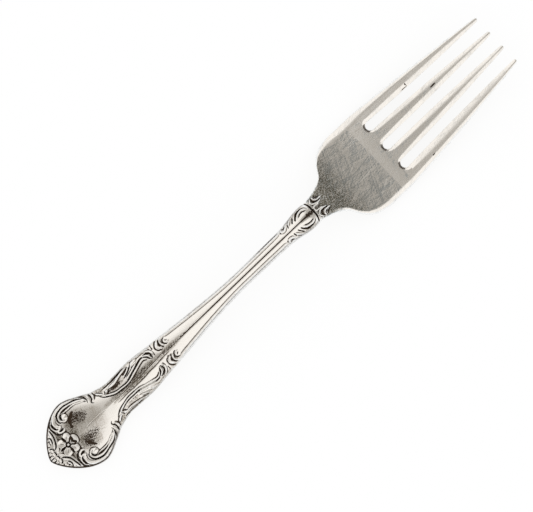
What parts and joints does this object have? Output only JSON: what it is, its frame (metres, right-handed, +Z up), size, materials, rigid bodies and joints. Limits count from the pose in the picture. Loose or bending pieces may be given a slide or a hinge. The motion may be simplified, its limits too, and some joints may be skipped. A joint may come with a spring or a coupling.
{
  "type": "baby fork",
  "caption": "Small silver-plated table fork with slender tapering tines, a plain dished palm, an arched slim stem and a spatulate handle end in scroll, leaf and flower relief.",
  "frame": {"origin": "on the table plane, under the middle of the fork's length and width as it lies face up", "axes": "+X along the fork from the handle's tip to the tines, +Y to the left of the tines' direction, +Z up"},
  "size_m": [0.108, 0.0164, 0.0091],
  "materials": {
    "head_silver": "satin",
    "handle_silver": "polished",
    "relief_silver": "polished"
  },
  "bodies": {
    "root": {"terminal": "handle_silver", "leaf_shank": "handle_silver", "stem": "handle_silver", "neck": "handle_silver", "palm": "head_silver", "tine_1": "head_silver", "tine_2": "head_silver", "tine_3": "head_silver", "tine_4": "head_silver", "tip_shell": "relief_silver", "tip_leaf_left": "relief_silver", "tip_leaf_right": "relief_silver", "flower_petals": "relief_silver", "flower_centre": "relief_silver", "flower_leaf_left": "relief_silver", "flower_leaf_right": "relief_silver", "rim_scroll_left": "relief_silver", "rim_scroll_right": "relief_silver", "scroll_eye_left": "relief_silver", "scroll_eye_right": "relief_silver", "scroll_binding_left": "relief_silver", "scroll_binding_right": "relief_silver", "leaf_panel_left": "relief_silver", "leaf_panel_right": "relief_silver", "mid_scroll_left": "relief_silver", "mid_scroll_right": "relief_silver", "stem_bead_left": "relief_silver", "stem_bead_right": "relief_silver", "stem_spine": "relief_silver", "neck_leaf_left": "relief_silver", "neck_leaf_right": "relief_silver", "collar_band": "relief_silver", "shoulder_scroll_left": "relief_silver", "shoulder_scroll_right": "relief_silver", "shoulder_tongue": "relief_silver"}
  },
  "joints": []
}
